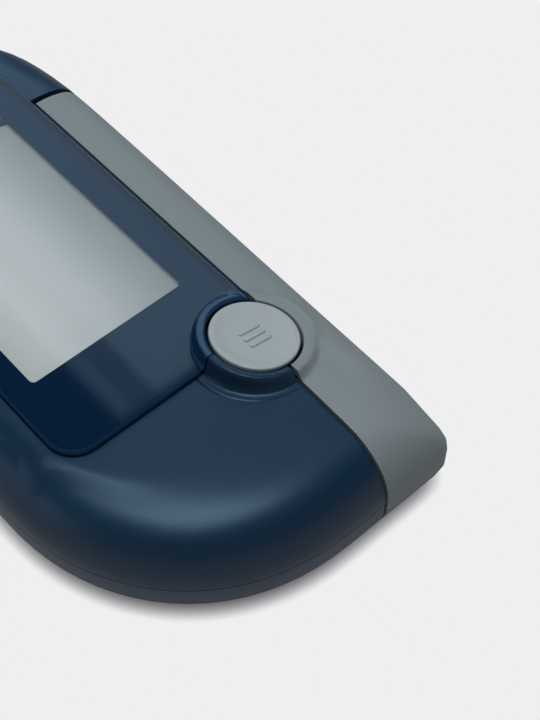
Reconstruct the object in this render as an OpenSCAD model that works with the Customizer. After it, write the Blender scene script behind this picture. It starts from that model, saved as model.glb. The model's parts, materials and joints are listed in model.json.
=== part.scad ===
// Blood glucose meter with one sloping key, two AAA cells and a port for test strips.
// X runs across the meter towards the grip strip, Y runs up it towards the strip port, Z is up.
// The origin is on the table under the middle of the meter.

/* [Housing] */
// Width of the meter across its long sides
body_w = 48; // [47:0.5:52]
// Length from the round lower end to the strip port end
body_l = 104; // [103:1:112]
// Height of the seam between the two shells
seam_z = 7; // [6.4:0.1:7.6]
// Height at which the rear shell starts to curve under
rim_z = 4.4; // [4:0.1:4.8]
// Width of the curve under the rear shell's edge
under_w = 4.8; // [4.2:0.1:5]
// Wall of both shells
wall = 2.4; // [2.2:0.1:2.6]
// Floor of the rear shell
floor_t = 2; // [1.8:0.1:2.2]
// Width of the open seam line between the shells
seam_gap = 0.15; // [0.1:0.05:0.25]
// Radius of the lower corner beside the grip strip
corner_r = 1.6; // [1.2:0.1:2.4]
// Width of the big round corner at the lower left
sweep_w = 30.6; // [30:0.1:33]
// Length of the big round corner at the lower left
sweep_l = 31.7; // [30:0.1:33]
// Length of the dome at the strip port end
dome_l = 24.9; // [23:0.1:26]

/* [Edges] */
// Width of the soft roll round the lower end
roll_w = 8.3; // [7.5:0.1:8.8]
// Width of the soft roll along the left side
roll_left_w = 6.3; // [5.5:0.1:6.6]
// Width of the soft roll round the port end
roll_top_w = 5; // [4:0.1:6]
// Width of the roll along the grip strip, at the strip's upper end
roll_side_w = 4.3; // [3.8:0.1:4.8]
// Width of the roll along the grip strip, at its lower end
roll_side_low_w = 5; // [4.8:0.1:6]
// How far the top face falls towards its edges
crown = 1.3; // [1:0.1:1.5]

/* [Display] */
// Width of the housing left beside the display lens, on the strip's side
lens_side = 8.3; // [8.1:0.1:8.8]
// Width of the housing left beside the display lens, on the other side
lens_left_side = 7.3; // [7:0.1:8]
// Length of the housing left below the display lens
lens_foot_side = 25.1; // [24:0.1:26.5]
// Length of the housing left above the display lens
lens_head_side = 17; // [16:0.1:19]
// Thickness of the display lens
lens_t = 1.4; // [1.2:0.1:1.6]
// How far the lens stands above the shell
lens_proud = 0.8; // [0.6:0.1:1]
// Corner radius of the lens
lens_r = 4.2; // [3.4:0.2:4.8]
// Border of the lens between the clear window and the strip
window_side = 4.4; // [4:0.1:5.2]
// Border of the lens between the clear window and its left edge
window_left_side = 4.1; // [3.8:0.1:5]
// Border of the lens between the clear window and the key
window_foot = 13; // [12.4:0.1:14.5]
// Border of the lens above the clear window
window_head = 10; // [8:0.5:12]
// Thickness of the liquid crystal panel
panel_t = 1.4; // [1.2:0.1:1.5]
// Margin of the panel round the window
panel_margin = 2; // [1.6:0.1:2.2]
// Height of the panel above the circuit board
panel_rise = 0.4; // [0.3:0.05:0.8]

/* [Key] */
// Radius of the round key
key_r = 5.95; // [5.6:0.05:6.1]
// Gap round the key
key_gap = 0.5; // [0.35:0.05:0.6]
// Distance from the lens's edge beside the strip to the key's centre
key_side = 3.62; // [3.4:0.02:3.8]
// Distance from the lens's lower edge down to the key's centre
key_foot = 0.48; // [0.3:0.02:0.8]
// Height of the key's top above the lens
key_rise = 0.6; // [0.5:0.05:0.8]
// Slope of the key towards the strip
key_tilt = 11.8; // [10:0.2:12.6]
// Travel of the key
key_travel = 0.5; // [0.3:0.05:0.6]
// Travel of the set key
set_travel = 0.5; // [0.3:0.05:0.6]
// Depth of the dish in the key's top
key_dish = 0.22; // [0.1:0.02:0.3]
// Width of the raised collar's top round the key
collar_w = 0.9; // [0.7:0.05:1]
// Width of the slope outside the collar
collar_slope = 1.45; // [1.2:0.05:1.6]

/* [Grip strip] */
// Thickness of the grip strip
strip_t = 1; // [0.8:0.05:1.1]
// Gap between the display lens and the grip strip
strip_clear = 0.67; // [0.6:0.01:0.75]
// Distance from the key's centre to the strip's inner edge below the key
strip_step = 0.52; // [0.4:0.02:0.9]
// Length of the housing left above the strip's upper end
strip_end_side = 26.9; // [26.4:0.1:28]
// Groove between the strip and the shell
strip_gap = 0.55; // [0.4:0.05:0.6]
// Groove past the strip's upper end
strip_end_gap = 0.95; // [0.7:0.05:1.2]

/* [Cells and bay] */
// Diameter of one AAA cell
cell_d = 10.3; // [10:0.1:10.4]
// Length of one AAA cell with its raised end
cell_l = 44.5; // [43.5:0.1:44.6]
// Gap round each cell
cell_gap = 0.1; // [0.08:0.01:0.15]
// Wall of the cell bay
bay_wall = 1.2; // [1:0.1:1.4]
// Roof over the cells
roof_t = 0.5; // [0.4:0.05:0.6]
// Length left for a contact spring
spring_l = 5.3; // [4.8:0.1:5.6]
// Wire of the contact springs
spring_wire = 0.7; // [0.6:0.05:0.8]
// Thickness of the contact plates
plate_t = 0.3; // [0.2:0.05:0.4]

/* [Cell door] */
// Thickness of the cell door
door_t = 1.15; // [1.05:0.05:1.2]
// How far the door lies inside the rest face
door_sink = 0.2; // [0.15:0.05:0.3]
// Gap round the door
door_gap = 0.3; // [0.25:0.05:0.4]
// Width of one hook tab
tab_w = 5; // [4:0.5:6]
// Reach of a hook tab past the door's edge
tab_reach = 1.5; // [1.2:0.1:1.7]

/* [Circuit board] */
// Thickness of the circuit board
board_t = 0.8; // [0.6:0.1:0.9]
// Gap between the board's edge and the housing's edge roll
board_gap = 0.5; // [0.4:0.05:0.8]

/* [Strip port] */
// Width of the test strip slot
port_w = 7.4; // [6.6:0.1:8]
// Height of the test strip slot
port_h = 1; // [0.8:0.1:1.2]

/* [Screws] */
// Radius of the screw bosses
boss_r = 2.8; // [2.6:0.1:3]
// Diameter of the housing screws
screw_d = 2; // [1.8:0.1:2.2]
// Length of the housing screws under their heads
screw_l = 9; // [8:0.5:9.5]

/* [Hidden] */
$fn = 48;
SPRING_TURNS = 3.5;
SPRING_STEPS = 12;
SPRING_SIDES = 6;

blue = "#2b4156";
rear_blue = "#37485a";
lens_blue = "#10273f";
grey = "#74797b";
pale_grey = "#8f999f";
panel_grey = "#9aa3a4";
white = "#dfe0dc";
board_green = "#2c6a44";
metal = "#b9bcbd";
gold = "#c9a552";
black = "#26282a";
cell_grey = "#6d7479";

half_w = body_w / 2;
half_l = body_l / 2;

// Heights inside the meter, from the door up to the face of the lens.
cell_low = door_sink + door_t + cell_gap;
cell_z = cell_low + cell_d / 2;
roof_low = cell_low + cell_d + cell_gap;
board_z = roof_low + roof_t;
board_top = board_z + board_t;
panel_gap = 0.05;
ledge_t = 0.6;
panel_low = board_top + panel_rise;
panel_top = panel_low + panel_t;
lens_low = panel_top + panel_gap + ledge_t;
body_h = lens_low + lens_t;

// Edges of the display lens and of its clear window.
lens_x = half_w - lens_side;
lens_left = lens_left_side - half_w;
lens_foot = lens_foot_side - half_l;
lens_head = half_l - lens_head_side;
window_x = lens_x - window_side;
window_left = lens_left + window_left_side;
window_low = lens_foot + window_foot;
window_high = lens_head - window_head;

// Centre of the key, and the edges of the grip strip.
key_x = lens_x - key_side;
key_y = lens_foot - key_foot;
strip_x = lens_x + strip_clear;
strip_low_x = key_x + strip_step;
strip_y = half_l - strip_end_side;

// Plan corners, counterclockwise from the lower right. Each has its X side, its Y side, its width,
// its length, its exponent, the angle at which it starts, and how it grows as it moves in.
CORNERS = [
    [1, -1, corner_r, corner_r, 2, -90, 0.7],
    [1, 1, half_w, dome_l, 2.4, 0, -1],
    [-1, 1, half_w, dome_l, 2.4, 90, -1],
    [-1, -1, sweep_w, sweep_l, 2.13, 180, -1]
];
// Steps round each corner, and along the straight side that follows it.
CORNER_STEPS = [7, 15, 15, 20];
SIDE_STEPS = [14, 0, 4, 6];
ROLL_STEPS = 8;
INNER_STEPS = 5;
LEAST_R = 0.4;
BODY_BOX = [-half_w, half_w, -half_l, half_l];

// Samples round the outline: corner number, share of its turn, share of the side after it.
SAMPLES = [
    for (c = [0:3]) each concat(
        [for (k = [(c == 2 ? 1 : 0):CORNER_STEPS[c]]) [c, k / CORNER_STEPS[c], 0]],
        [for (k = [1:1:SIDE_STEPS[c] - 1]) [c, 1, k / SIDE_STEPS[c]]]
    )
];
COUNT = len(SAMPLES);

function mix(a, b, f) = a * (1 - f) + b * f;
function smooth(f) = let (g = min(1, max(0, f))) g * g * (3 - 2 * g);

// Point of one corner of a box, moved in by d, at a share f of the corner's turn.
function corner_point(box, c, d, f) =
    let (
        turn = c[5] + 90 * f,
        a = max(c[2] + d * c[6], LEAST_R),
        b = max(c[3] + d * c[6], LEAST_R),
        mid_x = c[0] > 0 ? box[1] - d - a : box[0] + d + a,
        mid_y = c[1] > 0 ? box[3] - d - b : box[2] + d + b
    )
    [
        mid_x + c[0] * a * pow(abs(cos(turn)), 2 / c[4]),
        mid_y + c[1] * b * pow(abs(sin(turn)), 2 / c[4])
    ];
// Point of sample i on a box with these corners, moved in by d.
function ring_point(box, corners, i, d) =
    let (s = SAMPLES[i], here = corner_point(box, corners[s[0]], d, s[1]))
    s[2] == 0 ? here : mix(here, corner_point(box, corners[(s[0] + 1) % 4], d, 0), s[2]);
function outline(d) = [for (i = [0:COUNT - 1]) ring_point(BODY_BOX, CORNERS, i, d)];
function flat_ring(points, z) = [for (p = points) [p[0], p[1], z]];
OUTLINE = outline(0);

// 1 along the edge beside the grip strip, easing to 0 round both ends.
side_low_y = -half_l + 2;
side_full_y = -half_l + 8;
side_top_y = strip_y - 1;
side_end_y = strip_y + 14;
function side_share(p) =
    smooth((p[0] - half_w * 0.3) / (half_w * 0.55))
    * smooth((p[1] - side_low_y) / (side_full_y - side_low_y))
    * smooth((side_end_y - p[1]) / (side_end_y - side_top_y));
// 1 at the strip's upper end, easing to 0 at its lower end.
function side_rise(p) = smooth((p[1] - side_low_y) / (side_top_y - side_low_y));
// 1 round the port end, easing to 0 down the sides.
function port_share(p) = smooth((p[1] - half_l * 0.35) / (half_l * 0.4));
// 1 along the left side, easing to 0 round the lower end.
function left_share(p) = smooth((p[1] + half_l * 0.75) / (half_l * 0.6)) * smooth(-p[0] / half_w);

front_low = seam_z + seam_gap / 2;
rear_high = seam_z - seam_gap / 2;
edge_z = body_h - crown;
seam_land = 0.4;
roll_h = edge_z - front_low - seam_land;
roll_top_h = 6;
roll_side_h = 5.2;
roll_side_low_h = 7;

// Width and depth of the edge roll at each sample.
field_gap = 0.35;
left_w = min(roll_left_w, lens_left_side - field_gap - 0.3);
ROLL_W = [for (p = OUTLINE) mix(
    mix(mix(roll_w, left_w, left_share(p)), roll_top_w, port_share(p)),
    mix(roll_side_low_w, roll_side_w, side_rise(p)), side_share(p))];
ROLL_H = [for (p = OUTLINE) mix(
    mix(roll_h, roll_top_h, port_share(p)),
    mix(roll_side_low_h, roll_side_h, side_rise(p)), side_share(p))];

// Inner loop of the top face, just outside the lens.
lens_gap = 0.15;
lens_round = 0.3;
ceiling_t = 0.8;
ceiling_z = lens_low - ceiling_t;
FIELD_BOX = [lens_left - field_gap, strip_x, lens_foot - field_gap, lens_head + field_gap];
FIELD_CORNERS = [for (c = CORNERS) [c[0], c[1], lens_r, lens_r, 2, c[5], 0]];
FIELD = [for (i = [0:COUNT - 1]) ring_point(FIELD_BOX, FIELD_CORNERS, i, 0)];
CEILING = [for (i = [0:COUNT - 1]) ring_point(FIELD_BOX, FIELD_CORNERS, i, 1)];
field_z = body_h - lens_proud;
// Turn at which each roll stops, where it has the slope of the crown that goes on from it.
TURN = [
    for (i = [0:COUNT - 1])
        let (
            edge = ring_point(BODY_BOX, CORNERS, i, ROLL_W[i]),
            slope = 2 * (field_z - edge_z) / max(norm(edge - FIELD[i]), 0.5)
        )
        atan(ROLL_H[i] / ROLL_W[i] / slope)
];

// Ring of the front shell's face, moved in by e and down by drop, at a share of its edge roll,
// which ends no lower than a given height.
function roll_ring(e, drop, share, low = 0) = [
    for (i = [0:COUNT - 1])
        let (
            turn = TURN[i] * share,
            w = ROLL_W[i] - e,
            h = min(ROLL_H[i] - drop, edge_z - drop - low),
            p = ring_point(BODY_BOX, CORNERS, i, e + w * (1 - cos(turn)))
        )
        [p[0], p[1], edge_z - drop - h * (1 - sin(turn))]
];
// Ring of the crown, between the roll's inner end and the loop round the lens.
function field_ring(e, drop, share) =
    let (edge = roll_ring(e, drop, 1))
    [
        for (i = [0:COUNT - 1])
            let (p = mix([edge[i][0], edge[i][1]], FIELD[i], share))
            [p[0], p[1], mix(edge[i][2], field_z - drop, share * (2 - share))]
    ];
function face_rings(e, drop, steps) = concat(
    [for (k = [0:steps]) roll_ring(e, drop, k / steps)],
    [for (k = [1:3]) field_ring(e, drop, k / 3)]
);

// Rings of the curve under the rear shell's edge.
UNDER = [for (k = [4:-1:0])
    flat_ring(outline(under_w * (1 - cos(22.5 * k))), rim_z * (1 - sin(22.5 * k)))];

function center(ring) = [for (p = ring) 1 / len(ring)] * ring;
// Closed solid through rings of COUNT points, each fanned shut at its ends.
module loft(rings) {
    last = len(rings) - 1;
    polyhedron(
        concat([for (r = rings) each r], [center(rings[0]), center(rings[last])]),
        concat(
            [for (r = [0:last - 1]) for (i = [0:COUNT - 1]) let (j = (i + 1) % COUNT) each [
                [r * COUNT + i, (r + 1) * COUNT + i, (r + 1) * COUNT + j],
                [r * COUNT + i, (r + 1) * COUNT + j, r * COUNT + j]
            ]],
            [for (i = [0:COUNT - 1]) [i, (i + 1) % COUNT, (last + 1) * COUNT]],
            [for (i = [0:COUNT - 1])
                [last * COUNT + (i + 1) % COUNT, last * COUNT + i, (last + 1) * COUNT + 1]]
        )
    );
}

// Shell joint: the front shell's lip stands outside the rear shell's tongue.
lip_w = 1.6;
lip_gap = 0.1;
tongue_h = 1;
tongue_gap = 0.2;
ceiling_drop = strip_t + 1.2;
strip_low = rim_z - 1;

// Board, inside the roll of the front shell at the height of its top, and the panel's frame.
tongue_room_z = front_low + tongue_h + tongue_gap;
inner_low = tongue_room_z + 0.3;
inner_high = edge_z - ceiling_drop;
roll_part = (board_top - inner_low) / (inner_high - inner_low);
board_inset = wall + (roll_w - wall) * (1 - sqrt(1 - roll_part * roll_part)) + board_gap;
boss_room = 0.3;
foot_margin = 1.6;
connector_w = 2;
frame_rim = 1.3;
frame_gap = 0.2;
chip_w = 7;
chip_h = 1.2;
chip_x = 9;
buzzer_r = 5;
buzzer_h = 2.6;
buzzer_hole_r = 0.8;

// Cell bay, with a pocket for the set key beyond its upper end.
cell_x = cell_d / 2 + 0.2;
bay_half = cell_x + cell_d / 2 + 0.4;
bump_t = 1;
bump_foot_r = 2.4;
bump_top_r = 1.6;
spring_foot_r = 3.3;
spring_top_r = 2.1;
nub_h = 0.8;
bay_l = cell_l + spring_l + bump_t + 2 * plate_t;
bay_low = -36.2;
bay_high = bay_low + bay_l;
bay_top_y = bay_high + bay_wall;
nub_1 = bay_low + plate_t + bump_t;
nub_2 = bay_high - plate_t - bump_t;
chip_y = bay_top_y + 10.6;
buzzer_y = bay_top_y + 9.1;
pocket_l = 6.8;
pocket_roof = 4.2;
pocket_roof_t = 1.2;
ledge_z = door_sink + door_t + 0.15;
foot_w = 1.2;
tail_w = 1.6;
tail_gap = 0.15;

// Cell door and its opening.
door_half = bay_half + bay_wall;
door_low = bay_low - bay_wall - 2.4;
door_high = bay_top_y + pocket_l;
door_r = 2;
tab_x = 7;
tab_t = 1;
tab_z = floor_t + 0.25;
web_t = 1.3;
tab_room = 0.35;
tab_swing = 1.3;
latch_w = 8;
latch_t = 0.7;
latch_top = 4.3;
latch_y = door_low + door_gap + 0.4;
nose = 0.3;
dimple_r = 6;
dimple_depth = 1.3;

// Screws: two inside the round port end, and two beside the cell bay.
screw_inset = 5.4;
screw_turn = 1 / 3;
screw_x = door_half + boss_r + 0.7;
low_screw_y = 11.5 - half_l;
SCREWS = [
    corner_point(BODY_BOX, CORNERS[1], screw_inset, screw_turn),
    corner_point(BODY_BOX, CORNERS[2], screw_inset, 1 - screw_turn),
    [-screw_x, sweep_l - half_l - 7.2],
    [screw_x, low_screw_y]
];
boss_z = 9;
boss_gap = 0.1;
boss_top = ceiling_z - 0.5;
screw_head_r = screw_d * 0.95;
screw_head_h = 1.3;
screw_seat = 3;
screw_gap = 0.15;
thread_gap = 0.02;

// Key, in its own sloping frame with its top at zero.
key_z = body_h + key_rise;
key_bore = key_r + key_gap;
crest_r = key_bore + collar_w;
room_depth = 12;
room_rise = 3;
flange_r = key_bore + 0.5;
flange_room = 0.35;
ledge_h = 1.5;
flange_t = 0.55;
flange_gap = 0.1;
stem_r = 1.6;
rim_r = 0.45;
collar_depth = key_rise + lens_proud + 0.5;
lens_slope = 0.7;
switch_w = 4.5;
switch_h = 1.05;
plunger_r = 1.1;
plunger_gap = 0.25;
plunger_rise = key_travel + 0.1;
plunger_sink = switch_h - key_travel - 0.1;
stem_gap = 0.05;
plunger_top = board_top + switch_h + plunger_rise;
switch_x = key_x - tan(key_tilt) * (key_z - plunger_top);

// Set key and its switch, in the pocket beside the cells.
set_y = bay_top_y + pocket_l / 2;
set_r = 2;
set_gap = 0.2;
set_face = 3;
set_flange_r = 2.8;
set_flange_t = 0.6;
set_switch_w = 6;
set_switch_h = 1.5;
set_stem_r = 1.1;
set_plunger_r = 0.9;
set_plunger_rise = set_travel + 0.1;
set_plunger_sink = 0.55;
set_switch_back = 0.2;
set_low = board_z - set_switch_h - set_plunger_rise;

// Strip port.
guide_half = port_w / 2 + 2.6;
guide_wall = 1.4;
guide_gap = 0.15;
slot_z = board_z - port_h - 1.45;
guide_low = slot_z - guide_wall;
guide_high = slot_z + port_h + guide_wall;
guide_end = half_l - 1.2;
guide_l = 5.2;
guide_start = guide_end - guide_l;
mouth = 0.7;
connector_l = 10.4;
connector_half = port_w / 2 + 1.8;
slot_depth = 7;
contact_w = 0.9;
contact_t = 0.3;
contact_pitch = 2.1;

module block(x0, x1, y0, y1, z0, z1) {
    translate([x0, y0, z0]) cube([x1 - x0, y1 - y0, z1 - z0]);
}
// Rectangle with round corners between two X and two Y limits.
module rounded_box(x0, x1, y0, y1, r) {
    translate([x0 + r, y0]) square([x1 - x0 - 2 * r, y1 - y0]);
    translate([x0, y0 + r]) square([x1 - x0, y1 - y0 - 2 * r]);
    for (x = [x0 + r, x1 - r])
        for (y = [y0 + r, y1 - r])
            translate([x, y]) circle(r);
}
// Everything inside the housing's face by e, down to the table.
module housing_core(e, steps) {
    loft(concat([flat_ring(outline(e), 0), flat_ring(outline(e), seam_z)], face_rings(e, e, steps)));
}
// Plan of the grip strip, grown by g, up to its upper end.
module strip_plan(g, end) {
    far = half_w + 5;
    polygon([
        [strip_low_x - g, -half_l - 5], [far, -half_l - 5], [far, end],
        [strip_x - g, end], [strip_x - g, key_y + 1], [strip_low_x - g, key_y + 1]
    ]);
}
module lens_plan(g) {
    rounded_box(lens_left - g, lens_x + g, lens_foot - g, lens_head + g, lens_r);
}
module window_plan(g, r) {
    rounded_box(window_left - g, window_x + g, window_low - g, window_high + g, r);
}
// The panel runs further down than up, over its row of contacts.
module panel_plan(g, r) {
    m = panel_margin + g;
    rounded_box(window_left - m, window_x + m, window_low - m - foot_margin, window_high + m, r);
}

module on_key() translate([key_x, key_y, key_z]) rotate([0, key_tilt, 0]) children();
// Raised collar round the key: a crest beside the bore and a slope that eases into the face.
module collar(slope, depth, low) {
    on_key() rotate_extrude($fn = 96) polygon(concat(
        [[key_bore, low], [key_bore, -0.15], [key_bore + 0.15, 0], [crest_r - 0.25, 0.05], [crest_r, 0]],
        [for (k = [1:6]) [mix(crest_r, crest_r + slope, k / 6), -depth * smooth(k / 6)]],
        [[crest_r + slope, low]]
    ));
}
module key_room() {
    on_key() {
        translate([0, 0, -room_depth]) cylinder(r = key_bore, h = room_depth + room_rise);
        translate([0, 0, -room_depth]) cylinder(r = flange_r + flange_room, h = room_depth - ledge_h);
    }
}

module front_shell() {
    color(blue) difference() {
        union() {
            difference() {
                loft(concat(
                    [flat_ring(CEILING, ceiling_z)],
                    [for (k = [INNER_STEPS:-1:0])
                        roll_ring(wall, ceiling_drop, k / INNER_STEPS, inner_low)],
                    [
                        flat_ring(outline(wall), tongue_room_z),
                        flat_ring(outline(lip_w), tongue_room_z),
                        flat_ring(outline(lip_w), front_low),
                        flat_ring(OUTLINE, front_low)
                    ],
                    face_rings(0, 0, ROLL_STEPS)
                ));
                // Seat of the grip strip.
                difference() {
                    translate([0, 0, -1]) linear_extrude(body_h + 8)
                        strip_plan(strip_gap, strip_y + strip_end_gap);
                    housing_core(strip_t, 4);
                }
                // Pocket of the lens.
                translate([0, 0, lens_low]) linear_extrude(5) lens_plan(lens_gap);
            }
            intersection() {
                collar(collar_slope, collar_depth, -3.4);
                block(-half_w, strip_low_x - strip_gap, -half_l, lens_foot - lens_gap, 0, 30);
            }
            for (p = SCREWS)
                translate([p[0], p[1], boss_z + boss_gap])
                    cylinder(r = boss_r, h = boss_top - boss_z - boss_gap);
        }
        key_room();
        translate([0, 0, panel_low - 1]) linear_extrude(5) window_plan(0.8, 1.6);
        translate([0, 0, panel_low - 1]) linear_extrude(panel_t + 1 + panel_gap) panel_plan(0.3, 1);
        for (p = SCREWS)
            translate([p[0], p[1], boss_z - 1])
                cylinder(r = screw_d / 2 + thread_gap, h = screw_seat + screw_l + 0.4 - boss_z + 1);
        // Mouth of the strip port.
        block(-guide_half - guide_gap, guide_half + guide_gap, half_l - 8, half_l + 2,
            guide_low - guide_gap, guide_high + guide_gap);
    }
}

module rear_shell() {
    inside = [for (k = [0:4])
        flat_ring(outline(wall + (under_w - 0.9) * (1 - cos(22.5 * k))),
            rim_z + 0.4 - (rim_z + 0.4 - floor_t) * sin(22.5 * k))];
    color(rear_blue) difference() {
        union() {
            loft(concat(
                UNDER,
                [
                    flat_ring(OUTLINE, rear_high),
                    flat_ring(outline(lip_w + lip_gap), rear_high),
                    flat_ring(outline(lip_w + lip_gap), rear_high + tongue_h),
                    flat_ring(outline(wall), rear_high + tongue_h)
                ],
                inside
            ));
            // Walls and roof of the cell bay, and the foot that joins them to the floor.
            block(-door_half, door_half, bay_low - bay_wall, bay_top_y, ledge_z, board_z);
            block(-door_half - foot_w, door_half + foot_w, bay_low - bay_wall, door_high + foot_w,
                ledge_z, floor_t + 1);
            block(-door_half, door_half, bay_top_y - 0.1, door_high + foot_w,
                ledge_z, pocket_roof + pocket_roof_t);
            for (p = SCREWS)
                translate([p[0], p[1], 1]) cylinder(r = boss_r, h = boss_z - 1);
        }
        // Opening of the door, the bay over it and the pocket of the set key.
        translate([0, 0, -1]) linear_extrude(ledge_z + 1)
            rounded_box(-door_half, door_half, door_low, door_high, door_r);
        translate([0, 0, -1]) linear_extrude(floor_t + 2)
            rounded_box(-door_half, door_half, door_low, bay_low - bay_wall, 1);
        block(-bay_half, bay_half, bay_low, bay_high, -1, roof_low);
        block(-bay_half, bay_half, bay_top_y, door_high, -1, pocket_roof);
        translate([0, set_y, 0]) cylinder(r = set_r + set_gap, h = board_z);
        for (x = [-tab_x, tab_x])
            block(x - tab_w / 2 - tab_room, x + tab_w / 2 + tab_room, door_high - 0.5,
                door_high + tab_reach + tab_room, floor_t, tab_z + tab_t + tab_swing);
        // Slots for the solder tails of the contact plates.
        for (x = [-cell_x, cell_x])
            block(x - tail_w / 2 - tail_gap, x + tail_w / 2 + tail_gap, bay_high - plate_t - tail_gap,
                bay_high + tail_gap, roof_low - 1, board_z + 1);
        for (p = SCREWS) {
            translate([p[0], p[1], -1]) cylinder(r = screw_head_r + 0.3, h = screw_seat + 1);
            translate([p[0], p[1], -1]) cylinder(r = screw_d / 2 + screw_gap, h = boss_z + 2);
        }
        // Finger dimple at the latch.
        translate([0, door_low - 1, dimple_depth - dimple_r]) sphere(dimple_r, $fn = 64);
        // Seat of the grip strip.
        difference() {
            translate([0, 0, strip_low - 0.1]) linear_extrude(body_h)
                strip_plan(strip_gap, strip_y + strip_end_gap);
            translate([0, 0, strip_low - 1]) linear_extrude(body_h) polygon(outline(strip_t));
        }
    }
}

module grip_strip() {
    color(grey) difference() {
        intersection() {
            union() {
                loft(concat(UNDER, [flat_ring(OUTLINE, seam_z)], face_rings(0, 0, ROLL_STEPS)));
                collar(collar_slope, collar_depth, -4);
            }
            translate([0, 0, strip_low]) linear_extrude(body_h + 8) strip_plan(0, strip_y);
        }
        housing_core(strip_t, 4);
        key_room();
    }
}

module display_lens() {
    color(lens_blue) difference() {
        union() {
            translate([0, 0, lens_low]) linear_extrude(lens_t - lens_round) lens_plan(0);
            for (k = [1:3])
                translate([0, 0, body_h - lens_round])
                    linear_extrude(lens_round * sin(30 * k)) lens_plan(-lens_round * (1 - cos(30 * k)));
            intersection() {
                collar(lens_slope, 2.2, -4);
                block(-half_w, lens_x, lens_foot, half_l, lens_low, 30);
            }
        }
        key_room();
    }
}

module lcd_panel() {
    color(panel_grey) translate([0, 0, panel_low]) linear_extrude(panel_t) panel_plan(0, 0.3);
}
// The frame holds the panel off the board, with a slot at its foot for the connector.
module connector_box(g, low, high) {
    y = window_low - panel_margin - foot_margin + 0.4;
    block(window_left - g, window_x + g, y - g, y + connector_w + g, low, high);
}
module lcd_frame() {
    color(white) difference() {
        translate([0, 0, board_top]) linear_extrude(ceiling_z - frame_gap - board_top)
            panel_plan(frame_rim, 1.5);
        translate([0, 0, panel_low]) linear_extrude(5) panel_plan(0.1, 0.4);
        translate([0, 0, board_top - 1]) linear_extrude(5) window_plan(-1, 1);
        connector_box(0.1, board_top - 1, panel_low + 1);
    }
}
module lcd_connector() {
    color(black) connector_box(0, board_top, panel_low);
}

module circuit_board() {
    color(board_green) translate([0, 0, board_z]) linear_extrude(board_t) difference() {
        polygon(outline(board_inset));
        for (p = SCREWS)
            translate(p) circle(boss_r + boss_room);
    }
}

module controller_chip() {
    leg = 0.9;
    color(black) translate([chip_x, chip_y, 0]) {
        block(-chip_w / 2, chip_w / 2, -chip_w / 2, chip_w / 2, board_z - chip_h, board_z - 0.1);
        for (a = [0:90:270])
            rotate([0, 0, a])
                for (k = [-3:3])
                    block(k - 0.2, k + 0.2, chip_w / 2 - 0.1, chip_w / 2 + leg, board_z - 0.4, board_z);
    }
}

module buzzer() {
    color(black) translate([-chip_x, buzzer_y, board_z - buzzer_h]) difference() {
        cylinder(r = buzzer_r, h = buzzer_h);
        translate([0, 0, -1]) cylinder(r = buzzer_hole_r, h = 1 + buzzer_hole_r);
    }
}

module main_key() {
    stem_end = -(key_z - plunger_top) / cos(key_tilt) + stem_r * tan(key_tilt) + stem_gap;
    flange_top = -ledge_h - flange_gap;
    color(pale_grey) on_key() rotate_extrude($fn = 96) polygon(concat(
        [[0, stem_end], [stem_r, stem_end], [stem_r, flange_top - flange_t]],
        [[flange_r, flange_top - flange_t], [flange_r, flange_top], [key_r, flange_top]],
        [for (a = [0:18:90]) [key_r - rim_r * (1 - cos(a)), -rim_r * (1 - sin(a))]],
        [for (k = [1:5]) [(key_r - rim_r) * (1 - k / 5), -key_dish * smooth(k / 2.5)]]
    ));
}
module key_switch() {
    color(black) difference() {
        block(switch_x - switch_w / 2, switch_x + switch_w / 2, key_y - switch_w / 2, key_y + switch_w / 2,
            board_top, board_top + switch_h);
        translate([switch_x, key_y, board_top - 1]) cylinder(r = plunger_r + plunger_gap, h = 5);
    }
}
module key_switch_plunger() {
    color(pale_grey) translate([switch_x, key_y, board_top + switch_h - plunger_sink])
        cylinder(r = plunger_r, h = plunger_sink + plunger_rise);
}

module set_key() {
    color(pale_grey) translate([0, set_y, 0]) {
        translate([0, 0, set_face]) cylinder(r = set_r, h = pocket_roof + pocket_roof_t + 0.2 - set_face);
        translate([0, 0, pocket_roof + pocket_roof_t + 0.1]) cylinder(r = set_flange_r, h = set_flange_t);
        translate([0, 0, pocket_roof]) cylinder(r = set_stem_r, h = set_low - pocket_roof);
    }
}
module set_switch() {
    color(black) difference() {
        block(-set_switch_w / 2, set_switch_w / 2, set_y - set_switch_w / 2, set_y + set_switch_w / 2,
            board_z - set_switch_h, board_z);
        translate([0, set_y, board_z - set_switch_h - 1])
            cylinder(r = set_plunger_r + 0.15, h = set_switch_h + 1 - set_switch_back);
    }
}
module set_switch_plunger() {
    color(pale_grey) translate([0, set_y, set_low])
        cylinder(r = set_plunger_r, h = set_plunger_rise + set_plunger_sink);
}

module port_guide() {
    color(white) difference() {
        translate([0, guide_end, (guide_low + guide_high) / 2]) rotate([90, 0, 0]) linear_extrude(guide_l)
            rounded_box(-guide_half, guide_half, (guide_low - guide_high) / 2,
                (guide_high - guide_low) / 2, 0.6);
        block(-port_w / 2, port_w / 2, guide_start - 1, guide_end + 1, slot_z, slot_z + port_h);
        // Flared mouth.
        hull() {
            block(-port_w / 2 - mouth, port_w / 2 + mouth, guide_end, guide_end + 1,
                slot_z - mouth, slot_z + port_h + mouth);
            block(-port_w / 2, port_w / 2, guide_end - 1.2, guide_end, slot_z, slot_z + port_h);
        }
    }
}
module strip_connector() {
    color(black) difference() {
        block(-connector_half, connector_half, guide_start - connector_l, guide_start, guide_low, board_z);
        block(-port_w / 2, port_w / 2, guide_start - slot_depth, guide_start + 1, slot_z, slot_z + port_h);
    }
}
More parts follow.
